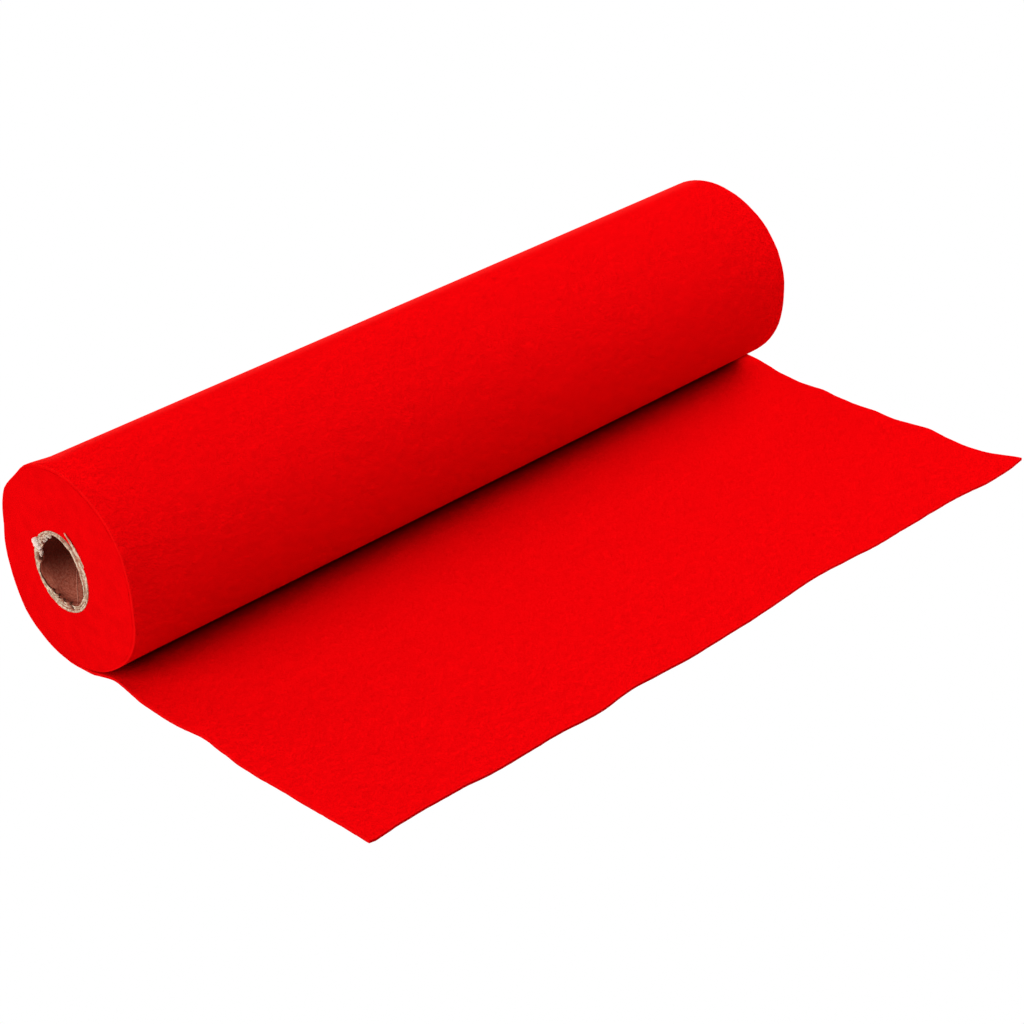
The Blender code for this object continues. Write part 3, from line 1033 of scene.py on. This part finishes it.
def tear_rim(tube, near):
    """Tear the near rim: each ply ends at its own uneven height, with a groove between it and the next."""
    torn, dark_marks_and_shade = add_marks(tube, "torn", "dark_marks_and_shade")
    for i, vert in enumerate(tube.data.vertices):
        spot = WallPoint(vert.co, near)
        vert.co.x -= spot.reach() * (1 - smooth(spot.reach_in / TEAR_REACH))
        vert.co -= spot.spoke * (spot.lean() * (1 - smooth(spot.reach_in / LEAN_REACH)))
        torn[i].value = spot.bare()
        dark_marks_and_shade[i].value = spot.dark_marks_and_shade()


def add_marks(thing, *names):
    """Give a mesh attributes of those names, with one value for each vertex."""
    for name in names:
        thing.data.attributes.new(name, "FLOAT", "POINT")
    return [thing.data.attributes[name].data for name in names]


def mark_torn(thing, groove_at, paleness=0.0):
    """Mark a loose bit of board as torn all over, dark where the function says, and as pale as is given."""
    torn, dark_marks_and_shade, pale = add_marks(thing, "torn", "dark_marks_and_shade", "pale")
    for i, vert in enumerate(thing.data.vertices):
        torn[i].value = 1.0
        dark_marks_and_shade[i].value = groove_at(vert.co)
        pale[i].value = paleness


def apply_modifiers(thing):
    for modifier in list(thing.modifiers):
        bpy.ops.object.modifier_apply(modifier=modifier.name)


def from_axis(x, y, z):
    """A place in metres, from its place in mm from the roll's near end and the tube's axis."""
    return Vector((NEAR_END + x * MM, AXIS_Y + y * MM, CORE_HEIGHT + z * MM))


def crease(place):
    """From 0 at a crease to 1 between creases, in crumpled board."""
    return abs(waver(place.y + place.x, place.z - place.x, 90, CREASE_SIZE))


def make_lumps(places, name, crumple):
    """Lumps of torn plies, run together and roughened by creases as deep as the crumple."""
    lumps = []
    for lump in places:
        deselect_all()
        bpy.ops.mesh.primitive_ico_sphere_add(
            subdivisions=3, radius=lump.radius * MM, location=from_axis(lump.x, lump.y, lump.z)
        )
        lumps.append(bpy.context.object)
    for thing in lumps:
        thing.select_set(True)
    bpy.context.view_layer.objects.active = lumps[0]
    bpy.ops.object.join()
    wad = bpy.context.object
    wad.name = name
    bpy.ops.object.transform_apply(location=True, rotation=True, scale=True)
    merge = wad.modifiers.new("merge", "REMESH")
    merge.mode = "VOXEL"
    merge.voxel_size = WAD_VOXEL
    apply_modifiers(wad)
    moves = []
    for vert in wad.data.vertices:
        rough = waver(vert.co.y * 1.7 + vert.co.x, vert.co.z * 1.7 - vert.co.x, 91, PULP_SIZE)
        moves.append(vert.normal * (crumple * (crease(vert.co) - CREASE_MEAN) + PULP_HEIGHT * rough))
    for vert, move in zip(wad.data.vertices, moves):
        vert.co += move
    return wad


def make_wad():
    """The wad of crumpled plies: its egg-shaped end, and the teeth beside it, with painted shade in their
    creases and on the teeth next to the egg.
    """
    egg = make_lumps(EGG, "wad_egg", EGG_CRUMPLE)
    # Painted shade in the egg's creases.
    mark_torn(egg, lambda place: 0.5 - 0.5 * smooth(crease(place) / 0.10), paleness=1.0)
    teeth = make_lumps(TEETH, "wad_teeth", TEETH_CRUMPLE)

    # Painted shade on the teeth next to the egg and in their creases.
    def by_egg(place):
        gap = min((place - from_axis(lump.x, lump.y, lump.z)).length - lump.radius * MM for lump in EGG)
        return max(1 - smooth(gap / SHADE_BY_EGG), 0.9 - 0.9 * smooth(crease(place) / 0.12))

    mark_torn(teeth, by_egg, paleness=0.45)
    return egg, teeth


def make_sliver():
    """The thin strip of the outer ply that stands off the rim and ends in a point."""
    deselect_all()
    bpy.ops.mesh.primitive_grid_add(x_subdivisions=SLIVER_STEPS, y_subdivisions=4, size=2.0)
    sliver = bpy.context.object
    for vert in sliver.data.vertices:
        share = (vert.co.x + 1) / 2
        side = vert.co.y
        middle = from_axis(*(read_table(SLIVER, share, name) for name in ("x", "y", "z")))
        half = read_table(SLIVER, share, "half") * MM
        spoke = Vector((0.0, middle.y - AXIS_Y, middle.z - CORE_HEIGHT)).normalized()
        along = share * RAGGED_SPAN
        ragged = 1 + RAGGED_SHARE * waver(along, side, 95, RAGGED_SIZE)
        vert.co = middle + spoke * (half * side * ragged)
        vert.co.x += SLIVER_CURL * side * side + SLIVER_WARP * waver(along, side, 96, WARP_SIZE)
    thicken = sliver.modifiers.new("thicken", "SOLIDIFY")
    thicken.thickness = SLIVER_THICKNESS
    thicken.offset = 0.0
    apply_modifiers(sliver)
    bpy.ops.object.mode_set(mode="EDIT")
    bpy.ops.mesh.select_all(action="SELECT")
    bpy.ops.mesh.normals_make_consistent(inside=False)
    bpy.ops.object.mode_set(mode="OBJECT")
    mark_torn(sliver, lambda place: 0.25 + 0.5 * waver(place.y, place.z, 97, STAIN_SIZE))
    return sliver


# The stage


def add_floor(settings):
    """The floor: it throws back and gives off light, and the camera sees it as plain white."""
    deselect_all()
    bpy.ops.mesh.primitive_plane_add(size=settings.floor_size, location=(0.0, 0.0, -FLOOR_DROP))
    floor = bpy.context.object
    floor.name = "studio_floor"
    shader = Shader("pale floor", (0.95, 0.95, 0.95))
    shader.finish(
        Base_Color=(*[settings.floor_tone] * 3, 1.0),
        Roughness=1.0,
        Specular_IOR_Level=0.0,
        Emission_Color=WHITE,
        Emission_Strength=settings.floor_glow,
    )
    seen = shader.node("ShaderNodeLightPath", output="Is Camera Ray")
    white = shader.node("ShaderNodeEmission", inputs={"Color": WHITE, "Strength": 1.0})
    lit = Wire(shader, shader.surface.outputs["BSDF"])
    shown = shader.node("ShaderNodeMixShader", inputs={0: seen, 1: lit, 2: white})
    shader.feed(shader.tree.nodes["Material Output"].inputs["Surface"], shown)
    floor.data.materials.append(shader.material)


def make_sky(settings):
    """A faint even light from all round, which the camera sees as plain white."""
    world = bpy.data.worlds.new("studio")
    world.use_nodes = True
    nodes = world.node_tree.nodes
    links = world.node_tree.links
    sky = nodes["Background"]
    sky.inputs["Color"].default_value = WHITE
    rays = nodes.new("ShaderNodeLightPath")
    strength = nodes.new("ShaderNodeMapRange")
    strength.inputs["To Min"].default_value = settings.sky
    strength.inputs["To Max"].default_value = 1.0
    links.new(rays.outputs["Is Camera Ray"], strength.inputs["Value"])
    links.new(strength.outputs["Result"], sky.inputs["Strength"])
    return world


def add_light(name, heading, height, power):
    """A soft square light, turned to face the roll."""
    deselect_all()
    round_floor = Matrix.Rotation(math.radians(heading), 3, "Z")
    above = math.radians(height)
    away = round_floor @ Vector((0.0, -math.cos(above), math.sin(above)))
    bpy.ops.object.light_add(type="AREA", location=away * LAMP_DISTANCE)
    light = bpy.context.object
    light.name = name
    light.data.size = LAMP_SIZE
    light.data.energy = power
    light.rotation_mode = "QUATERNION"
    light.rotation_quaternion = away.to_track_quat("Z", "Y")


def add_camera(settings):
    """The camera, turned to its heading, tilted down and leaned over."""
    deselect_all()
    bpy.ops.object.camera_add(location=CAMERA_PLACE)
    camera = bpy.context.object
    heading = Matrix.Rotation(-math.radians(CAMERA_HEADING), 4, "Z")
    tilt = Matrix.Rotation(math.radians(90 - CAMERA_DOWN), 4, "X")
    lean = Matrix.Rotation(math.radians(CAMERA_LEAN), 4, "Z")
    camera.matrix_world = Matrix.Translation(CAMERA_PLACE) @ heading @ tilt @ lean
    camera.data.lens = settings.lens
    camera.data.sensor_width = CAMERA_SENSOR
    camera.data.clip_end = CAMERA_SIGHT
    bpy.context.scene.camera = camera


def colour_property(name, description, default):
    return FloatVectorProperty(
        name=name, description=description, default=default, subtype="COLOR", size=3, min=0.0, max=1.0
    )


class FeltSettings(bpy.types.PropertyGroup):
    """What a user would change of the cloth."""

    colour: colour_property("Felt colour", "Colour of the felt's fibres", (0.86, 0.0010, 0.0024))
    # The colour of the painted sheen of the fuzz, and of the frayed edges' painted highlight.
    fuzz_sheen: colour_property("Fuzz colour", "Colour of the fibres seen against the light", (1.0, 0.017, 0.016))


class TubeSettings(bpy.types.PropertyGroup):
    """What a user would change of the tube."""

    inside: colour_property("Inner ply", "Colour of the tube's bore", (0.54, 0.12, 0.07))
    grain: colour_property("Inner ply grain", "Colour of the paler fibres in the bore", (0.76, 0.24, 0.15))
    # The colour of the painted shade on the bore's upper side and deep inside it.
    dark: colour_property("Bore's dark side", "Colour of the bore's upper side", (0.10, 0.007, 0.002))
    seam: colour_property("Seam", "Colour of the inner ply's spiral seam", (0.85, 0.42, 0.30))
    torn: colour_property("Torn board", "Colour of the torn rim", (0.70, 0.55, 0.41))
    torn_deep: colour_property("Torn board, deep", "Colour of the torn rim's darker pulp", (0.46, 0.30, 0.20))
    wad: colour_property("Torn wad", "Colour of the wad of plies at the rim", (0.82, 0.68, 0.60))
    # Also the colour of the cracks and stains, and of the painted shade in the rim's gaps, in the bore next
    # to the rim and in the wad.
    dark_marks_and_shade: colour_property("Ply grooves", "Colour between the plies of the torn rim", (0.05, 0.010, 0.004))


class StageSettings(bpy.types.PropertyGroup):
    """What a user would change of the studio."""

    floor_size: FloatProperty(name="Floor size", description="Side of the floor", default=12.0, unit="LENGTH")
    floor_tone: FloatProperty(name="Floor tone", description="Share of light thrown back", default=0.4)
    floor_glow: FloatProperty(name="Floor glow", description="Light that the floor gives off", default=0.61)
    power: FloatProperty(name="Lights", description="Power of all the lights", default=432.0, unit="POWER")
    sky: FloatProperty(name="Sky", description="Strength of the light from all round", default=0.105, min=0.0)
    lens: FloatProperty(name="Lens", description="Focal length of the camera", default=98.12, unit="CAMERA")


class FELTROLL_OT_wind_cloth(bpy.types.Operator):
    """Wind the felt round the tube and lay its loose end out flat"""

    bl_idname = "felt_roll.wind_cloth"
    bl_label = "Wind the Felt"

    def execute(self, context):
        settings = context.scene.felt_cloth
        cloth, length = wind_cloth()
        layer = cloth.data.uv_layers.new(name="cloth")
        along = cloth.data.attributes["along"].data
        across = cloth.data.attributes["across"].data
        for loop in cloth.data.loops:
            i = loop.vertex_index
            layer.data[loop.index].uv = (across[i].value, along[i].value)
        cloth.data.materials.append(felt_material(settings))
        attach(cloth, "root")
        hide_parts("felt")
        return {"FINISHED"}


class FELTROLL_OT_make_tube(bpy.types.Operator):
    """Make the cardboard tube with its torn, layered near rim"""

    bl_idname = "felt_roll.make_tube"
    bl_label = "Make the Tube"

    def execute(self, context):
        settings = context.scene.felt_tube
        tube = spin_tube()
        bits = (*make_wad(), make_sliver())
        deselect_all()
        for thing in (*bits, tube):
            thing.select_set(True)
        context.view_layer.objects.active = tube
        bpy.ops.object.join()
        bpy.ops.object.shade_smooth_by_angle(angle=BOARD_EDGE_ANGLE)
        tube.data.materials.append(board_material(settings))
        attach(tube, "root")
        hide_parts("core_tube")
        return {"FINISHED"}


class FELTROLL_OT_set_stage(bpy.types.Operator):
    """Set up the pale floor, the soft lights and the camera"""

    bl_idname = "felt_roll.set_stage"
    bl_label = "Set the Stage"

    def execute(self, context):
        settings = context.scene.felt_stage
        add_floor(settings)
        for lamp in LAMPS:
            add_light(lamp.name, lamp.heading, lamp.height, lamp.share * settings.power)
        context.scene.world = make_sky(settings)
        context.scene.view_settings.view_transform = "Standard"
        add_camera(settings)
        return {"FINISHED"}


class FELTROLL_PT_panel(bpy.types.Panel):
    """The roll's tools and settings"""

    bl_idname = "FELTROLL_PT_panel"
    bl_label = "Felt Roll"
    bl_space_type = "VIEW_3D"
    bl_region_type = "UI"
    bl_category = "Felt Roll"

    def draw(self, context):
        scene = context.scene
        for operator in OPERATORS:
            self.layout.operator(operator.bl_idname)
        for group in (scene.felt_cloth, scene.felt_tube, scene.felt_stage):
            box = self.layout.box()
            for name in group.__annotations__:
                box.prop(group, name)


OPERATORS = (FELTROLL_OT_set_stage, FELTROLL_OT_make_tube, FELTROLL_OT_wind_cloth)
CLASSES = (FeltSettings, TubeSettings, StageSettings, *OPERATORS, FELTROLL_PT_panel)


def register():
    for cls in CLASSES:
        bpy.utils.register_class(cls)
    bpy.types.Scene.felt_cloth = PointerProperty(type=FeltSettings)
    bpy.types.Scene.felt_tube = PointerProperty(type=TubeSettings)
    bpy.types.Scene.felt_stage = PointerProperty(type=StageSettings)


def unregister():
    for name in ("felt_cloth", "felt_tube", "felt_stage"):
        delattr(bpy.types.Scene, name)
    for cls in reversed(CLASSES):
        bpy.utils.unregister_class(cls)


def main():
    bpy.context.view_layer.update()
    register()
    bpy.ops.felt_roll.set_stage()
    bpy.ops.felt_roll.make_tube()
    bpy.ops.felt_roll.wind_cloth()


if __name__ == "__main__":
    main()
